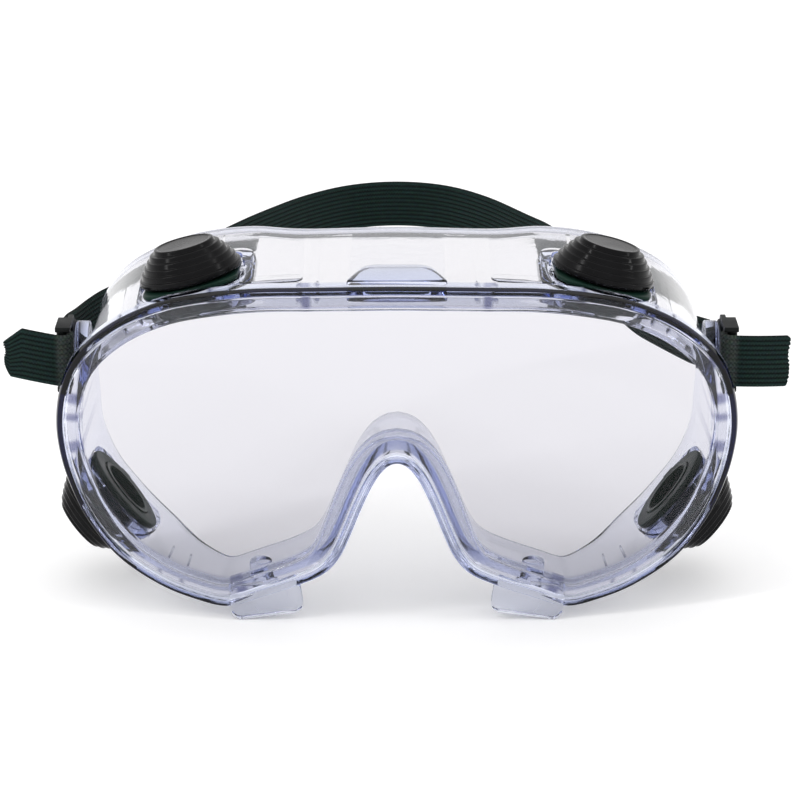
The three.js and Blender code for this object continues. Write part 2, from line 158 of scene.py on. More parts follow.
def combine(obj, others, how):
    for other in others:
        mod = obj.modifiers.new("join", "BOOLEAN")
        mod.operation = how
        mod.object = other
        mod.solver = "MANIFOLD"
        dg = bpy.context.evaluated_depsgraph_get()
        mesh = bpy.data.meshes.new_from_object(obj.evaluated_get(dg))
        obj.modifiers.clear()
        old = obj.data
        obj.data = mesh
        bpy.data.meshes.remove(old)
        bpy.data.objects.remove(other)
    finish_shading(obj)
    return obj


def paint(obj, mat):
    obj.data.materials.clear()
    obj.data.materials.append(mat)
    for poly in obj.data.polygons:
        poly.material_index = 0


def rounded(points, radii, steps=4, closed=True):
    """Fillet the corners of a polygon of (a, b) points, each with its own radius."""
    out = []
    n = len(points)
    for i, p in enumerate(points):
        if not closed and i in (0, n - 1):
            out.append(p)
            continue
        a, b = points[i - 1], points[(i + 1) % n]
        r = radii[i]
        if r <= 0:
            out.append(p)
            continue
        la, lb = math.dist(p, a), math.dist(p, b)
        ca, cb = min(r, la * 0.45), min(r, lb * 0.45)
        pa = (p[0] + (a[0] - p[0]) * ca / la, p[1] + (a[1] - p[1]) * ca / la)
        pb = (p[0] + (b[0] - p[0]) * cb / lb, p[1] + (b[1] - p[1]) * cb / lb)
        for s in range(steps + 1):
            t = s / steps
            out.append(tuple((1 - t) ** 2 * pa[k] + 2 * t * (1 - t) * p[k] + t * t * pb[k]
                             for k in range(2)))
    return out


def turned(name, profile, matrix, steps=96, angle=30.0):
    """Lathe a closed profile of (radius, height) about the matrix's Z."""
    verts, faces = [], []
    rings = []
    for r, h in profile:
        if r < TINY:
            rings.append([len(verts)])
            verts.append(tuple(matrix @ Vector((0, 0, h))))
            continue
        ring = []
        for i in range(steps):
            t = 2 * math.pi * i / steps
            ring.append(len(verts))
            verts.append(tuple(matrix @ Vector((r * math.cos(t), r * math.sin(t), h))))
        rings.append(ring)
    closed = profile[0][0] > TINY
    pairs = list(zip(rings, rings[1:])) + ([(rings[-1], rings[0])] if closed else [])
    for a, b in pairs:
        for i in range(steps):
            j = (i + 1) % steps
            if len(a) == 1 and len(b) == 1:
                break
            if len(a) == 1:
                faces.append((a[0], b[j], b[i]))
            elif len(b) == 1:
                faces.append((a[i], a[j], b[0]))
            else:
                faces.append((a[i], a[j], b[j], b[i]))
    return make(name, verts, faces, angle)


def prism(name, outline2d, low, high, matrix, bevel=0.0):
    """Extrude an (a, b) outline along the matrix's Z, with a small chamfered edge."""
    cx = sum(p[0] for p in outline2d) / len(outline2d)
    cy = sum(p[1] for p in outline2d) / len(outline2d)

    def ring(h, grow):
        out = []
        for a, b in outline2d:
            reach = math.hypot(a - cx, b - cy)
            p = (a + (a - cx) / reach * grow, b + (b - cy) / reach * grow, h)
            out.append(tuple(matrix @ Vector(p)))
        return out

    if bevel > 0:
        part = 0.3 * bevel
        rows = [ring(low, -bevel), ring(low + part, -part), ring(low + bevel, 0),
                ring(high - bevel, 0), ring(high - part, -part), ring(high, -bevel)]
    else:
        rows = [ring(low, 0), ring(high, 0)]
    verts, faces = loft(rows, closed=False, caps=True)
    return make(name, verts, faces)


def round_box(w, h, r, steps=8):
    """Outline of a w by h rectangle with corners of radius r."""
    pts = []
    for sx, sy, start in ((1, 1, 0), (-1, 1, 90), (-1, -1, 180), (1, -1, 270)):
        for i in range(steps + 1):
            t = math.radians(start + 90 * i / steps)
            pts.append((sx * (w / 2 - r) + r * math.cos(t),
                        sy * (h / 2 - r) + r * math.sin(t)))
    return pts


def axis_matrix(at, direction, along=(0, 0, 1)):
    """Frame at a point with +Z along direction; X is square to both along and +Z."""
    z = Vector(direction).normalized()
    x = Vector(along).cross(z)
    if x.length < TINY:
        x = Vector((1, 0, 0)).cross(z)
    x.normalize()
    y = z.cross(x)
    m = Matrix((x, y, z)).transposed().to_4x4()
    m.translation = Vector(at)
    return m


# ---- the rim's outline ----------------------------------------------------------------------
def catmull(p0, p1, p2, p3, t):
    return tuple(0.5 * (2 * b + (c - a) * t + (2 * a - 5 * b + 4 * c - d) * t * t
                        + (3 * b - a - 3 * c + d) * t ** 3)
                 for a, b, c, d in zip(p0, p1, p2, p3))


def outline(count):
    """Evenly spaced stations round the rim, each with its outward normal and section."""
    loop = HALF + [(-p[0],) + p[1:] for p in HALF[-2:0:-1]]
    fine = []
    n = len(loop)
    for i in range(n):
        for s in range(SPLINE_STEPS):
            fine.append(catmull(loop[i - 1], loop[i], loop[(i + 1) % n], loop[(i + 2) % n],
                                s / SPLINE_STEPS))
    length = [0.0]
    for i, p in enumerate(fine):
        q = fine[(i + 1) % len(fine)]
        length.append(length[-1] + math.dist(p[:2], q[:2]))
    out, i = [], 0
    for s in range(count):
        want = length[-1] * s / count
        while length[i + 1] < want:
            i += 1
        t = (want - length[i]) / (length[i + 1] - length[i])
        p, q = fine[i], fine[(i + 1) % len(fine)]
        out.append([a + (b - a) * t for a, b in zip(p, q)])
    # ease the spline's small kinks
    for _ in range(max(2, count // 160)):
        out = [[(a + 2 * b + c) / 4
                for a, b, c in zip(out[k - 1], out[k], out[(k + 1) % count])]
               for k in range(count)]
    stations = []
    for k, p in enumerate(out):
        a, b = out[k - 1], out[(k + 1) % count]
        tx, tz = b[0] - a[0], b[1] - a[1]
        span = math.hypot(tx, tz)
        stations.append(dict(x=p[0], z=p[1], nx=-tz / span, nz=tx / span, depth=p[2],
                             narrow=p[3], flange=p[4], lip=p[5], step=p[6]))
    if stations[0]["nz"] < 0:
        for st in stations:
            st["nx"], st["nz"] = -st["nx"], -st["nz"]
    return stations


RING = outline(STATIONS)


def nearest(x, z):
    return min(RING, key=lambda s: math.hypot(s["x"] - x, s["z"] - z))


def wall_matrix(x, z, y, lean, sink=0.0):
    """Frame on the soft wall nearest to (x, z), y behind the front plane; its +Z points out."""
    best = nearest(x, z)
    front = RIM_BACK + bow(best["x"])
    out = Vector((best["nx"], lean, best["nz"])).normalized()
    off = -best["step"] - best["narrow"] * (y - front) / (best["depth"] - front) - sink
    side = Vector((0, 1, 0)).cross(out).normalized()
    along = out.cross(side)
    m = Matrix((side, along, out)).transposed().to_4x4()
    m.translation = Vector((best["x"] + best["nx"] * off, y, best["z"] + best["nz"] * off))
    return m


def vent_kind(vent):
    return TOP_VENT if vent[1] > 0 else LOWER_VENT


def vent_matrix(key):
    """Frame of a vent on the wall, its origin and +Z on the hinge of its cap."""
    m = wall_matrix(*VENTS[key], *vent_kind(VENTS[key])[:2])
    hinge = next(j for j in frame["joints"] if j["name"] == "cap_turn_" + key)
    x, y, z = (1000 * c for c in hinge["pos_m"])
    return axis_matrix((x, y - SHIFT_Y, z - SHIFT_Z), hinge["axis"], m.col[1].to_3d())


# ---- materials ------------------------------------------------------------------------------
GRAIN_SCALE, GRAIN_DEPTH = 900, 0.00004   # fine grain of the opaque plastics
# the webbing's cord colour, with painted shade for the grooves between cords and a painted
# highlight for the fold
GROOVE_SHADE, THREAD_LIGHT = (0.0007, 0.0023, 0.002, 1), (0.0135, 0.034, 0.03, 1)
FOLD_HIGHLIGHT = (0.075, 0.088, 0.08, 1)


def material(name):
    mat = bpy.data.materials.new(name)
    mat.use_nodes = True
    nodes, links = mat.node_tree.nodes, mat.node_tree.links
    bsdf = nodes["Principled BSDF"]
    return mat, nodes, links, bsdf


def surface_grain(nodes, links, bsdf, scale, distance, rough, spread):
    """Fine bump and a roughness that wanders a little; returns the wide noise behind it."""
    coords = nodes.new("ShaderNodeTexCoord")
    noise = nodes.new("ShaderNodeTexNoise")
    noise.inputs["Scale"].default_value = scale
    noise.inputs["Detail"].default_value = 3.0
    links.new(coords.outputs["Object"], noise.inputs["Vector"])
    bump = nodes.new("ShaderNodeBump")
    bump.inputs["Distance"].default_value = distance
    bump.inputs["Strength"].default_value = 0.5
    links.new(noise.outputs["Fac"], bump.inputs["Height"])
    links.new(bump.outputs["Normal"], bsdf.inputs["Normal"])
    wide = nodes.new("ShaderNodeTexNoise")
    wide.inputs["Scale"].default_value = scale / 9
    wide.inputs["Detail"].default_value = 2.0
    links.new(coords.outputs["Object"], wide.inputs["Vector"])
    ramp = nodes.new("ShaderNodeMapRange")
    ramp.inputs["From Min"].default_value = 0.35
    ramp.inputs["From Max"].default_value = 0.65
    ramp.inputs["To Min"].default_value = rough - spread
    ramp.inputs["To Max"].default_value = rough + spread
    links.new(wide.outputs["Fac"], ramp.inputs["Value"])
    links.new(ramp.outputs["Result"], bsdf.inputs["Roughness"])
    return wide


def clear(name, ior, colour, density, rough, spread, bump_scale, bump_dist, tint_and_shade=None):
    """See-through plastic, tinted by its thickness and by the named colour layer of tint and
    painted shade, if any.
    """
    mat, nodes, links, bsdf = material(name)
    bsdf.inputs["Base Color"].default_value = (1, 1, 1, 1)
    if tint_and_shade:
        layer = nodes.new("ShaderNodeAttribute")
        layer.attribute_name = tint_and_shade
        links.new(layer.outputs["Color"], bsdf.inputs["Base Color"])
    bsdf.inputs["Transmission Weight"].default_value = 1.0
    bsdf.inputs["IOR"].default_value = ior
    surface_grain(nodes, links, bsdf, bump_scale, bump_dist, rough, spread)
    volume = nodes.new("ShaderNodeVolumeAbsorption")
    volume.inputs["Color"].default_value = (*colour, 1)
    volume.inputs["Density"].default_value = density
    links.new(volume.outputs["Volume"], nodes["Material Output"].inputs["Volume"])
    return mat


def plastic(name, colour, rough, spread, specular):
    mat, nodes, links, bsdf = material(name)
    wide = surface_grain(nodes, links, bsdf, GRAIN_SCALE, GRAIN_DEPTH, rough, spread)
    mix = nodes.new("ShaderNodeMix")
    mix.data_type = "RGBA"
    mix.inputs["A"].default_value = (*colour, 1)
    mix.inputs["B"].default_value = (*[c * 1.6 + 0.004 for c in colour], 1)
    links.new(wide.outputs["Fac"], mix.inputs["Factor"])
    links.new(mix.outputs["Result"], bsdf.inputs["Base Color"])
    bsdf.inputs["Specular IOR Level"].default_value = specular
    return mat


PVC = clear("clear_pvc", 1.33, (0.28, 0.38, 0.74), 70, 0.05, 0.02, 260, 0.00006, "tint_and_shade")
LENS = clear("clear_lens", 1.22, (0.53, 0.52, 0.59), 320, 0.012, 0.006, 60, 0.00001)
BLACK = plastic("black_cap", (0.002, 0.002, 0.0024), 0.2, 0.06, 0.1)
COLLAR = plastic("collar_black_green", (0.001, 0.002, 0.0015), 0.5, 0.06, 0.12)
GREEN = plastic("plate_green", (0.004, 0.018, 0.012), 0.4, 0.07, 0.12)
LOCK = plastic("lock_ring_green", (0.009, 0.02, 0.015), 0.45, 0.08, 0.12)
BUCKLE = plastic("buckle_black", (0.002, 0.003, 0.003), 0.42, 0.07, 0.12)


def webbing(name):
    """Ribbed elastic: cords along the band, fine threads across, painted shade in the grooves
    between cords and a painted highlight where it is folded.
    """
    mat, nodes, links, bsdf = material(name)

    def maths(operation, *values):
        node = nodes.new("ShaderNodeMath")
        node.operation = operation
        for socket, value in zip(node.inputs, values):
            if isinstance(value, (int, float)):
                socket.default_value = value
            else:
                links.new(value, socket)
        return node.outputs[0]

    def blend(kind, factor, first, second):
        node = nodes.new("ShaderNodeMix")
        node.data_type = "RGBA"
        node.blend_type = kind
        for socket, value in (("Factor", factor), ("A", first), ("B", second)):
            if isinstance(value, (int, float, tuple)):
                node.inputs[socket].default_value = value
            else:
                links.new(value, node.inputs[socket])
        return node.outputs["Result"]

    uv = nodes.new("ShaderNodeUVMap")
    uv.uv_map = "UVMap"
    split = nodes.new("ShaderNodeSeparateXYZ")
    links.new(uv.outputs["UV"], split.inputs["Vector"])
    along, across = split.outputs["X"], split.outputs["Y"]      # metres along, 0..1 across
    fold_highlight = nodes.new("ShaderNodeAttribute")
    fold_highlight.attribute_name = "fold_highlight"
    cord = maths("ABSOLUTE", maths("SINE", maths("MULTIPLY", across, CORDS * math.pi)))
    row = maths("FLOOR", maths("MULTIPLY", across, 2 * CORDS))
    offset = maths("MULTIPLY", row, math.pi)
    threads = maths("SINE", maths("MULTIPLY_ADD", along, THREAD_RATE, offset))
    height = maths("MULTIPLY_ADD", threads, 0.5, maths("MULTIPLY", cord, 0.6))
    bump = nodes.new("ShaderNodeBump")
    bump.inputs["Distance"].default_value = 0.00014
    bump.inputs["Strength"].default_value = 0.9
    links.new(height, bump.inputs["Height"])
    links.new(bump.outputs["Normal"], bsdf.inputs["Normal"])
    coords = nodes.new("ShaderNodeTexCoord")
    fuzz = nodes.new("ShaderNodeTexNoise")
    fuzz.inputs["Scale"].default_value = 900
    fuzz.inputs["Detail"].default_value = 4
    links.new(coords.outputs["Object"], fuzz.inputs["Vector"])
    # painted shade: darker in the grooves, lighter on the cords' crests
    colour = blend("MIX", cord, GROOVE_SHADE, THREAD_LIGHT)
    # painted highlight: paler where the band is folded, broken by the cross threads
    lit = maths("MULTIPLY_ADD", threads, 0.25, 0.6)
    colour = blend("MIX", maths("MULTIPLY", fold_highlight.outputs["Fac"], lit), colour, FOLD_HIGHLIGHT)
    colour = blend("MULTIPLY", 0.5, colour, fuzz.outputs["Color"])
    links.new(colour, bsdf.inputs["Base Color"])
    bsdf.inputs["Roughness"].default_value = 0.8
    bsdf.inputs["Specular IOR Level"].default_value = 0.1
    bsdf.inputs["Sheen Weight"].default_value = 0.05
    bsdf.inputs["Sheen Roughness"].default_value = 0.4
    return mat


WEB = webbing("elastic_webbing")


# ---- soft clear frame -----------------------------------------------------------------------
def frame_section(s):
    """Closed section of the frame at a station, each corner eased."""
    step, back = -s["step"], -s["step"] - s["narrow"]
    lip, d, fl = s["lip"], s["depth"], s["flange"]
    # outward from the outline, back from the front plane, follows the bow, corner radius
    rows = [
        (0, 1.3, 1, 0.5), (0, 1.9, 1, 0.05), (0, RIM_BACK - 0.9, 1, 0.8),
        (step, RIM_BACK, 1, 0.9),
        (back, d, 0, 0.9), (back - fl, d + 0.1, 0, 0.9), (back - fl, d - 1.5, 0, 0.7),
        (back - WALL, d - 1.9, 0, 2.6), (step - WALL, RIM_BACK + 1.8, 1, 1.6),
        (-lip, RIM_BACK - 0.1, 1, 0.7), (-lip, GROOVE_BACK, 1, 0.3),
        (-GROOVE_FLOOR, GROOVE_BACK, 1, 0.25), (-GROOVE_FLOOR, GROOVE_FRONT, 1, 0.25),
        (-lip - 0.1, 1.6, 1, 0.3), (-lip + 0.25, 0.55, 1, 0.6),
        (-2.3, 0.3, 1, 0.2), (-2.05, 0.75, 1, 0.2), (-1.75, 0.3, 1, 0.2), (-0.95, 0.1, 1, 0.05),
        (-0.5, 0, 1, 0.5),
    ]

    def place(row):
        px = s["x"] + s["nx"] * row[0]
        return Vector((px, row[1] + (bow(px) if row[2] else 0), s["z"] + s["nz"] * row[0]))

    out = []
    for i, row in enumerate(rows):
        p, pa, pb = place(row), place(rows[i - 1]), place(rows[(i + 1) % len(rows)])
        la, lb = (pa - p).length, (pb - p).length
        qa = p + (pa - p) * (min(row[3], la * 0.45) / la)
        qb = p + (pb - p) * (min(row[3], lb * 0.45) / lb)
        for k in range(4):
            t = k / 3
            out.append(tuple((1 - t) ** 2 * qa + 2 * t * (1 - t) * p + t * t * qb))
    return out


def disc(name, matrix, r, low, high, steps=64):
    return turned(name, [(0, low), (r, low), (r, high), (0, high)], matrix, steps)


# Dark patches painted as shade on the back of the lip where moulded marks show: x, z, half
# width along the rim; both sides have them
PATCHES = [(80.5, 16.3, 1.5), (83, 5.8, 1.5), (83.4, 1.0, 0.9), (83.2, -7.3, 1.4),
           (22.2, 39, 1.0), (40, -43, 1.5)]
RIBS = [(69.3, 27.4), (65, 30.2), (46.8, 36.2), (41.8, 37), (24.7, 38.8), (19.7, 39),
        (58.8, -35.2), (54, -37.2)]
RIB_HALF = 0.5                            # half width of a rib's painted shade
BEAD_SIDE, BEAD_CORNER, BEAD_BROW = 1.8, 1.2, 0.7     # width of the painted shade along the bead
BEAD_DEEP, BEAD_SHALLOW = 1.95, 1.5       # how far back it reaches, at the sides and elsewhere
# painted shade for the bead's edge, painted shade for the moulded marks, and the brow pad's
# tint
BEAD_SHADE, SHADE, PAD = (0.00005, 0.00006, 0.0009), (0.3, 0.31, 0.46), (0.48, 0.51, 0.6)
# painted shade for the brow wall, the studs' dark tint, and painted shade for the ribs
BROW_SHADE, LUG_TONE, RIB_SHADE = (0.86, 0.84, 0.82), (0.004, 0.004, 0.005), (0.1, 0.11, 0.2)


def tint_and_shade_rim(obj):
    """Tint the rim: painted shade along the bead, on the moulded marks and ribs and on the brow
    wall; a tint on the brow pad and studs; the rest stays clear.
    """
    tree = KDTree(len(RING))
    for i, s in enumerate(RING):
        tree.insert((s["x"], s["z"], 0), i)
    tree.balance()
    marks = [(x * sign, z, half, nearest(x * sign, z)) for x, z, half in PATCHES
             for sign in (-1, 1)]
    ribs = [(x * sign, z, RIB_HALF, nearest(x * sign, z)) for x, z in RIBS
            for sign in (-1, 1)]
    layer = obj.data.attributes.new("tint_and_shade", "FLOAT_COLOR", "POINT")
    for i, v in enumerate(obj.data.vertices):
        x, y, z = v.co.x * 1000, v.co.y * 1000 - SHIFT_Y, v.co.z * 1000 - SHIFT_Z
        s = RING[tree.find((x, z, 0))[1]]
        n = (x - s["x"]) * s["nx"] + (z - s["z"]) * s["nz"]
        y -= bow(x)
        # painted shade: the brow wall is a little greyer than the rest, most where the rim
        # faces up
        brow = max(0.0, s["nz"]) ** 2 if y > 5.5 and n > -3.8 and s["z"] > 0 else 0.0
        colour = tuple(1 - (1 - c) * brow for c in BROW_SHADE)
        if abs(x) > 81 and n > -s["step"] + 0.3 and y > 27:
            colour = LUG_TONE
        nose = s["z"] < 0 and abs(s["x"]) < 43
        # painted shade along the bead: the dark edge is widest at the sides and thinnest over
        # the brow
        side = abs(s["nx"])
        if side > 0.75 and s["z"] > -22:
            width, reach = BEAD_SIDE, BEAD_DEEP
        elif side > 0.4 or s["z"] < 0:
            width, reach = BEAD_CORNER, BEAD_SHALLOW
        else:
            width, reach = BEAD_BROW, BEAD_SHALLOW
        if -width < n and y < reach and not nose:
            colour = BEAD_SHADE
        if n > -1.4 and abs(x) < 12.6 and 7.6 < y < 21 and z > 40.75:
            colour = PAD
        # painted shade on the moulded marks and the ribs behind the lip
        if y < 9 and -7.5 < n < -2.2:
            for mx, mz, half, m in marks + ribs:
                run = abs((x - mx) * -m["nz"] + (z - mz) * m["nx"])
                patch = half > RIB_HALF
                behind = y > (4.4 if patch else RIM_BACK + 0.3)
                if run < half and behind and math.hypot(x - mx, z - mz) < 7:
                    colour = SHADE if patch else RIB_SHADE
        layer.data[i].color = (*colour, 1)


def bowed_slab(name, front, back):
    """Slab wider and taller than the frame, bent as the lens is."""
    steps = 180
    xs = [-88 + 176 * i / steps for i in range(steps + 1)]
    plan = [(x, bow(x) + front) for x in xs] + [(x, bow(x) + back) for x in xs[::-1]]
    verts, faces = loft([[(x, y, -60) for x, y in plan], [(x, y, 60) for x, y in plan]],
                        closed=False, caps=True)
    return make(name, verts, faces)


def build_frame():
    verts, faces = loft([frame_section(s) for s in RING])
    body = make("frame_shell", verts, faces)
    add, cut = [], []
    front = bowed_slab("front", -20, 5.4)
    seats = []
    for key, vent in VENTS.items():
        m, under = vent_matrix(key), vent_kind(vent)[2]
        if vent[1] > 0:
            # square seat sunk in a well in the top wall
            seats.append(prism("seat", round_box(28.4, 28.4, 6), under, SEAT_TOP, m, 0.35))
            seats.append(prism("well", round_box(30, 30, 6.8), -4.5, -0.2,
                               wall_matrix(*vent, -0.04), 0.3))
            cut.append(prism("pocket", round_box(25.8, 25.8, 5.4), SEAT_TOP, 9, m))
        else:
            seat = [(0, under), (SEAT_R, under), (SEAT_R, SEAT_TOP), (0, SEAT_TOP)]
            seats.append(turned("seat", rounded(seat, [0, 0.3, 0.5, 0], 3, False), m, 72))
        cut.append(disc("under", m, 13.4, -9, under))
        cut.append(disc("over", m, 13.9, SEAT_TOP, 9))
        cut.append(disc("hole", m, NECK_HOLE, -9, 9))
    seats = combine(seats[0], seats[1:], "UNION")
    add.append(combine(seats, [front], "DIFFERENCE"))
    top = Matrix.Translation(Vector((0, 14.4, 0)))
    pad = rounded([(12.7, -6.6), (12.2, -4.5), (8.2, 6.6), (-8.2, 6.6), (-12.2, -4.5),
                   (-12.7, -6.6)], [1.6, 6, 3.4, 3.4, 6, 1.6], 6)
    add.append(prism("pad", pad, 36.8, 41.4, top, 0.5))
    for sign in (-1, 1):
        oval = wall_matrix(sign * 31.5, 40.8, 14, 0)
        add.append(prism("oval", round_box(16, 5.6, 2.7), -1.2, 0.22, oval, 0.15))
        for x, z in RIBS:
            st = nearest(sign * x, z)
            y = bow(x) + RIM_BACK
            rib = axis_matrix((sign * x, y - 0.4, z), (0, 1, 0), (-st["nz"], 0, st["nx"]))
            add.append(prism("rib", round_box(4.2, 0.5, 0.1), 0, 1.5, rib))
        slant = Matrix.Rotation(math.radians(8 * sign), 4, "Y") @ Matrix.Rotation(
            math.radians(90), 4, "X")
        at = Matrix.Translation(Vector((sign * 33.8, bow(33.8) + 4.6, -44.19))) @ slant
        add.append(prism("tab", round_box(18.6, 9, 2.6), 0, 3.4, at, 0.45))
        moon = Matrix.Translation(Vector((sign * 32.6, bow(33.8) + 4.6, -43.6))) @ slant
        add.append(disc("moon", moon, 4.6, 3.0, 3.65, 48))
        peg = Matrix.Translation(Vector((sign * 35.3, 12, 0)))
        add.append(turned("peg", rounded([(0, -40.8), (2.9, -40.8), (2.9, -36.2), (0, -36.2)],
                                         [0, 0, 0.5, 0], 4, False), peg, 40))
        out = axis_matrix((0, PIVOT_Y, STRAP_LIFT), (sign, 0, 0))
        foot = [(0, 80.2), (6.2, 80.2), (6.2, PLATE_X - 0.3), (0, PLATE_X - 0.3)]
        add.append(turned("foot", rounded(foot, [0, 0, 0.5, 0], 4, False), out, 56))
        add.append(disc("shank", out, SHANK_R, 80.2, PLATE_X + 2.2, 40))
        low, high = PLATE_X + 1.7, PLATE_X + 2.3
        head = [(0, low), (4.4, low), (4.4, high), (0, high)]
        add.append(turned("head", rounded(head, [0, 0.15, 0.25, 0], 3, False), out, 48))
        # slit across the front of the rim beside the tab
        slit = axis_matrix((sign * 43.1, bow(43) - 0.3, -41.4), (0, 1, 0), (0, 0, 1))
        cut.append(prism("slit", round_box(0.5, 8.4, 0.2), 0, 1.4, slit))
    body = combine(body, add, "UNION")
    body = combine(body, cut, "DIFFERENCE")
    body.name = "soft_frame"
    paint(body, PVC)
    tint_and_shade_rim(body)
    return body


def build_lens():
    pts = [(s["x"] - s["nx"] * LENS_INSET, s["z"] - s["nz"] * LENS_INSET) for s in RING]
    verts, faces = loft([[(x, -5, z) for x, z in pts], [(x, 40, z) for x, z in pts]],
                        closed=False, caps=True)
    blank = make("lens_sheet_clear", verts, faces)
    blank = combine(blank, [bowed_slab("sheet", LENS_FRONT, LENS_BACK)], "INTERSECT")
    paint(blank, LENS)
    return blank


# ---- vents ----------------------------------------------------------------------------------
# Lathe profiles as (radius, height) above the seat, and the easing of each corner
CAP = [(0, 7), (7.4, 7), (7.4, 4.9), (6.85, 4.6), (6.85, 3.7), (8.4, 3.7), (8.4, 4.3),
       (11.8, 4.3), (11.8, 3), (13.2, 3), (13.25, 4.75), (12.5, 4.85), (12.3, 6.35),
       (11.6, 6.4), (11.3, 7.75), (10.6, 7.8), (10.2, 9.15), (9.5, 9.2), (9.1, 10.45),
       (8, 10.5), (7.7, 11.6), (6.9, 11.6), (6.6, 11.4), (0, 11.4)]
CAP_EDGES = [0, 0, 0.1, 0.1, 0.1, 0.1, 0.1, 0.1, 0.2, 0.5, 0.35, 0.15, 0.3, 0.15, 0.3, 0.15,
             0.3, 0.15, 0.3, 0.2, 0.3, 0.25, 0.25, 0]
COLLAR_RING = [(5.4, -2.5), (6.9, -2.5), (6.9, 2.7), (11.3, 2.7), (11.3, 3.35), (6.5, 3.35),
               (6.5, 5.2), (7.05, 5.4), (7.05, 6.1), (5.4, 6.1)]
COLLAR_EDGES = [0.2, 0.3, 0.1, 0.2, 0.2, 0.1, 0.1, 0.1, 0.2, 0.2]


def build_vent(key, vent):
    m, under = vent_matrix(key), vent_kind(vent)[2]
    cap = turned("cap_" + key + "_shell", rounded(CAP, CAP_EDGES, 3, False), m, 96, 40)
    cap.data.materials.append(BLACK)
    ring = turned("collar_" + key, rounded(COLLAR_RING, COLLAR_EDGES, 3), m, 80, 40)
    ring.data.materials.append(COLLAR)
    plate = prism("plate_" + key, round_box(24.6, 24.6, 5), 1.3, 2.4, m, 0.25)
    neck = disc("neck", m, 8.3, under - 2.2, 2)
    bore = disc("bore", m, 7.2, -9, 9)
    plate = combine(plate, [neck], "UNION")
    plate = combine(plate, [bore], "DIFFERENCE")
    paint(plate, GREEN)
    low, high = under - 1.9, under - 0.3
    band = [(NECK_HOLE, low), (12.6, low), (12.6, high), (NECK_HOLE, high)]
    lock = turned("lock_" + key, rounded(band, [0.3, 0.5, 0.2, 0.2], 4), m, 80, 40)
    ear = prism("ear", [(-1.9, 11.6), (1.9, 11.6), (1.9, 13), (-1.9, 13)], low, high, m, 0.3)
    lock = combine(lock, [ear], "UNION")
    paint(lock, LOCK)
    return cap, ring, plate, lock


# ---- strap and buckles ----------------------------------------------------------------------
TAIL_LENGTH, TAIL_RISE = 14.8, {-1: 10.0, 1: -2.0}    # free ends, and their rise in degrees
# how far the band rides above or below its height at the buckles: distance back, rise
BAND_RISE = {
    -1: [(33, 0), (43, -1.8), (55, -3.1), (66, -2), (100, -1.4), (130, -0.8), (163.5, -0.7)],
    1: [(33, 0), (44, -5.4), (54, -7.6), (66, -8.8), (84, -8.6), (110, -4.6), (130, -2.4),
        (163.5, -0.7)],
}
# the band's course from the bar to the middle of the back and one point past it: x, y
BACK = [(85.3, 28.2), (87.1, 31), (87.3, 36.5), (87.2, 41.5), (86.3, 49), (84.2, 57),
        (79.2, 66), (70.5, 81), (60.5, 100), (48.5, 119), (38.5, 134.5), (27, 149.5),
        (14, 160), (0, 163.5), (-14, 160)]


def band_rise(sign, y):
    table = BAND_RISE[sign]
    if y <= table[0][0]:
        return table[0][1]
    for (y0, r0), (y1, r1) in zip(table, table[1:]):
        if y <= y1:
            t = (y - y0) / (y1 - y0)
            return r0 + (r1 - r0) * t * t * (3 - 2 * t)
    return table[-1][1]


def strap_half(sign):
    """Points from a free end to the middle of the back: x, y, lift, distance along the tail."""
    wrap = BAR_R + 0.3 + STRAP_THICK / 2
    pts = []
    for i in range(30):
        a = TAIL_LENGTH * (1 - i / 30)
        pts.append((BAR_X + a, BAR_Y - wrap + (a / TAIL_LENGTH) ** 2 * 1.6,
                    a * math.tan(math.radians(TAIL_RISE[sign])), a))
    for i in range(13):
        t = math.radians(90 * i / 12)
        pts.append((BAR_X - wrap * math.sin(t), BAR_Y - wrap * math.cos(t), 0, 0))
    knots = [(BAR_X - wrap, BAR_Y - 2), (BAR_X - wrap, BAR_Y + 0.6)] + BACK
    for i in range(1, len(knots) - 2):
        for k in range(1, 13):
            x, y = catmull(knots[i - 1], knots[i], knots[i + 1], knots[i + 2], k / 12)
            pts.append((x, y, band_rise(sign, y), 0))
    return [(sign * x, y, dz, a) for x, y, dz, a in pts]


def tail_trim(x, a):
    """How much of the band's height is cut away at the top and bottom near a free end."""
    left = TAIL_LENGTH - a
    if a <= 0 or left > 6:
        return 0.0, 0.0
    if x < 0:
        return max(0.0, 4.6 - 0.95 * left), max(0.0, 2.2 - 1.5 * left)
    return max(0.0, 0.5 - 0.8 * left), max(0.0, 1.0 - 1.6 * left)


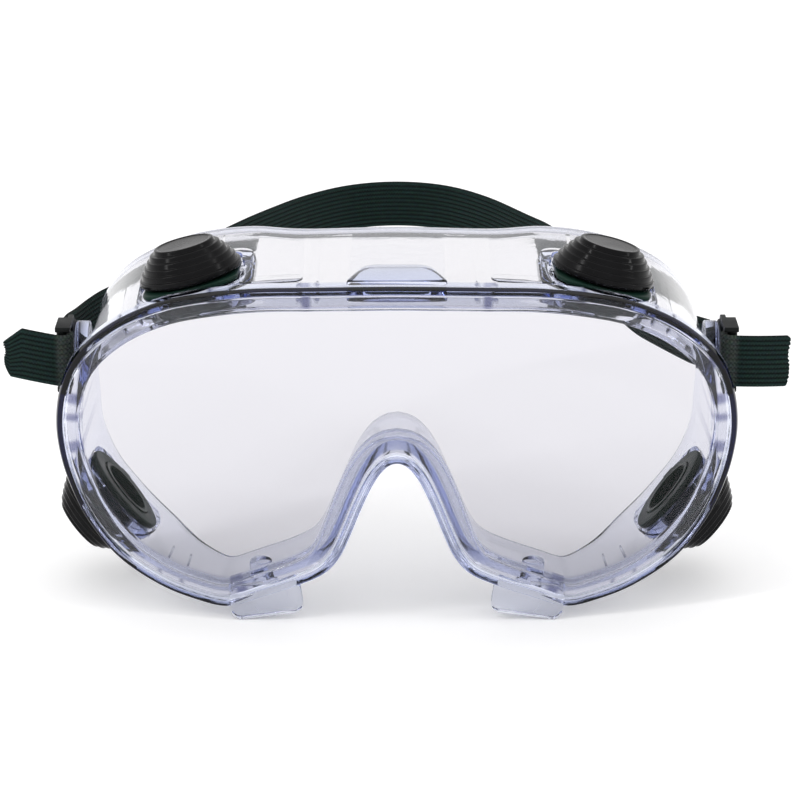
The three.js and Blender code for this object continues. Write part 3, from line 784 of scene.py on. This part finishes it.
def build_strap():
    path = strap_half(-1) + strap_half(1)[::-1][1:]
    across = 89
    rings, run = [], [0.0]
    for i, p in enumerate(path):
        if i:
            run.append(run[-1] + math.dist(p[:2], path[i - 1][:2]))
        a, b = path[max(i - 1, 0)], path[min(i + 1, len(path) - 1)]
        span = math.hypot(b[0] - a[0], b[1] - a[1])
        nx, ny = (b[1] - a[1]) / span, -(b[0] - a[0]) / span
        top, bottom = tail_trim(p[0], p[3])
        low, high = -STRAP_WIDTH / 2 + bottom, STRAP_WIDTH / 2 - top
        end = max(0.0, 1 - (TAIL_LENGTH - p[3]) / 0.7) if p[3] > 0 else 0.0
        ring = []
        for side in (1, -1):
            for k in range(across):
                v = k / (across - 1)
                v = v if side == 1 else 1 - v
                edge = min(1.0, min(v, 1 - v) / 0.02)
                rib = abs(math.sin(math.pi * CORDS * v))
                t = ((STRAP_THICK / 2 - CORD_HEIGHT) * math.sqrt(edge)
                     + CORD_HEIGHT * rib ** 0.7)
                # the cut ends are ragged
                pull = end * (0.45 * (1 - rib) + 0.35 * math.sin(9 * v + 2))
                ring.append((p[0] + side * nx * t - math.copysign(max(pull, 0), p[0]),
                             p[1] + side * ny * t, STRAP_LIFT + p[2] + low + (high - low) * v))
        rings.append(ring)
    verts, faces = loft(rings, closed=False, caps=True)
    mesh = bpy.data.meshes.new("strap_band")
    mesh.from_pydata([world(v) for v in verts], [], faces)
    n = len(rings[0])
    layer = mesh.uv_layers.new(name="UVMap")
    fold_highlight = mesh.attributes.new("fold_highlight", "FLOAT", "POINT")
    for poly in mesh.polygons:
        for li in poly.loop_indices:
            vi = mesh.loops[li].vertex_index
            k = vi % n
            v = (k if k < across else n - 1 - k) / (across - 1)
            layer.data[li].uv = (run[vi // n] / 1000, v)
    # painted highlight: how much of the paler fold colour each ring takes near the free ends
    for i, p in enumerate(path):
        d = min(run[i], run[-1] - run[i]) - TAIL_LENGTH
        amount = min(1.0, max(0.0, (d + 1.6) / 1.2)) * min(1.0, max(0.0, (9 - d) / 4))
        for k in range(n):
            fold_highlight.data[i * n + k].value = amount
    mesh.update()
    face_out(mesh)
    obj = add_object("strap_band", mesh)
    finish_shading(obj, 50)
    mesh.materials.append(WEB)
    return obj


def build_buckle(sign, name):
    z, h, arm = STRAP_LIFT, STRAP_WIDTH / 2 + 0.5, 1.3
    near, far, tip = PLATE_X, PLATE_X + PLATE_THICK, BAR_X + 1.5
    out = axis_matrix((0, PIVOT_Y, z), (sign, 0, 0))
    body = turned(name, rounded([(0, near), (6.6, near), (6.6, far), (0, far)],
                                [0, 0.3, 0.3, 0], 3, False), out, 64)

    def slab(x0, x1, y0, y1, z0, z1, r):
        m = axis_matrix((sign * x0, (y0 + y1) / 2, (z0 + z1) / 2), (sign, 0, 0))
        # the matrix's X axis is along +-Y here and its Y axis along Z
        return prism("slab", round_box(y1 - y0, z1 - z0, r), 0, x1 - x0, m, 0.2)

    add = [slab(near, far, 30.2, PIVOT_Y - 1, z - h - arm, z + h + arm, 1.0)]
    for end in (-1, 1):
        z0 = min(z + end * h, z + end * (h + arm))
        add.append(slab(near, tip, 23.6, 32.4, z0, z0 + arm, 0.45))
    bar = axis_matrix((sign * BAR_X, BAR_Y, 0), (0, 0, 1), (0, 1, 0))
    add.append(disc("bar", bar, BAR_R, z - h - 0.4, z + h + 0.4, 32))
    body = combine(body, add, "UNION")
    body = combine(body, [disc("eye", out, EYE_R, near - 3, far + 3, 40)], "DIFFERENCE")
    body.name = name
    paint(body, BUCKLE)
    return body


# ---- assemble -------------------------------------------------------------------------------
piece = build_frame()
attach(piece, "goggles")
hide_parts("frame")

piece = build_lens()
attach(piece, "goggles")
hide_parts("lens")

for key, vent in VENTS.items():
    cap, ring, plate, lock = build_vent(key, vent)
    for piece, body, node, slot in (
            (cap, "cap_" + key, "vent_cap_" + key, "black_plastic"),
            (ring, "goggles", "vent_collar_" + key, "collar_plastic"),
            (plate, "goggles", "vent_plate_" + key, "green_plastic"),
            (lock, "goggles", "vent_lock_ring_" + key, "green_plastic")):
        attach(piece, body)
        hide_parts(node)

for sign, side in ((-1, "left"), (1, "right")):
    piece = build_buckle(sign, "buckle_" + side + "_clip")
    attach(piece, "headband")
    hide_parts("buckle_" + side)

piece = build_strap()
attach(piece, "headband")
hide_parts("strap")

# ---- floor, light, camera -------------------------------------------------------------------
floor_mesh = bpy.data.meshes.new("floor")
HALF_FLOOR = 6
corners = [(-HALF_FLOOR, -HALF_FLOOR, 0), (HALF_FLOOR, -HALF_FLOOR, 0),
           (HALF_FLOOR, HALF_FLOOR, 0), (-HALF_FLOOR, HALF_FLOOR, 0)]
floor_mesh.from_pydata(corners, [], [(0, 1, 2, 3)])
floor = add_object("floor", floor_mesh)
mat, nodes, links, bsdf = material("studio_floor")
bsdf.inputs["Base Color"].default_value = (0.96, 0.96, 0.96, 1)
bsdf.inputs["Roughness"].default_value = 0.9
# the sweep is lit a little from below, as on a light table
bsdf.inputs["Emission Color"].default_value = (1, 1, 1, 1)
bsdf.inputs["Emission Strength"].default_value = 0.14
floor_mesh.materials.append(mat)

studio = bpy.data.worlds.new("studio")
bpy.context.scene.world = studio
studio.use_nodes = True
backdrop = studio.node_tree.nodes["Background"]
backdrop.inputs["Color"].default_value = (0.985, 0.98, 0.985, 1)
backdrop.inputs["Strength"].default_value = 0.94


def area(name, at, target, size, power):
    data = bpy.data.lights.new(name, "AREA")
    data.shape = "RECTANGLE"
    data.size, data.size_y = size
    data.energy = power
    obj = add_object(name, data)
    obj.location = at
    obj.rotation_euler = (Vector(target) - Vector(at)).to_track_quat("-Z", "Y").to_euler()


area("overhead", (0, 0.3, 1.7), (0, 0.3, 0), (1.8, 1.6), 3.5)
area("left_strip", (-1.0, -0.5, 0.75), (0, 0, 0.05), (0.05, 0.9), 4)
area("right_strip", (1.1, -0.3, 0.6), (0, 0, 0.05), (0.06, 0.8), 1.8)

# metres: how far off the camera is, and how far its aim is above and right of the centre
ELEVATION, DISTANCE = math.radians(22), 0.700
AIM_UP, AIM_RIGHT = 0.011809, 0.000754
centre = world((0, 0, 0))
cam_data = bpy.data.cameras.new("camera")
cam_data.sensor_width = 36
cam_data.lens = 125.37
cam_data.clip_start, cam_data.clip_end = 0.01, 20
cam = add_object("camera", cam_data)
toward = Vector((0, -math.cos(ELEVATION), math.sin(ELEVATION)))
up = Vector((0, math.sin(ELEVATION), math.cos(ELEVATION)))
cam.location = centre + toward * DISTANCE
aim = centre + up * AIM_UP + Vector((AIM_RIGHT, 0, 0))
cam.rotation_euler = (aim - cam.location).to_track_quat("-Z", "Y").to_euler()
bpy.context.scene.camera = cam
bpy.context.scene.view_settings.view_transform = "Standard"
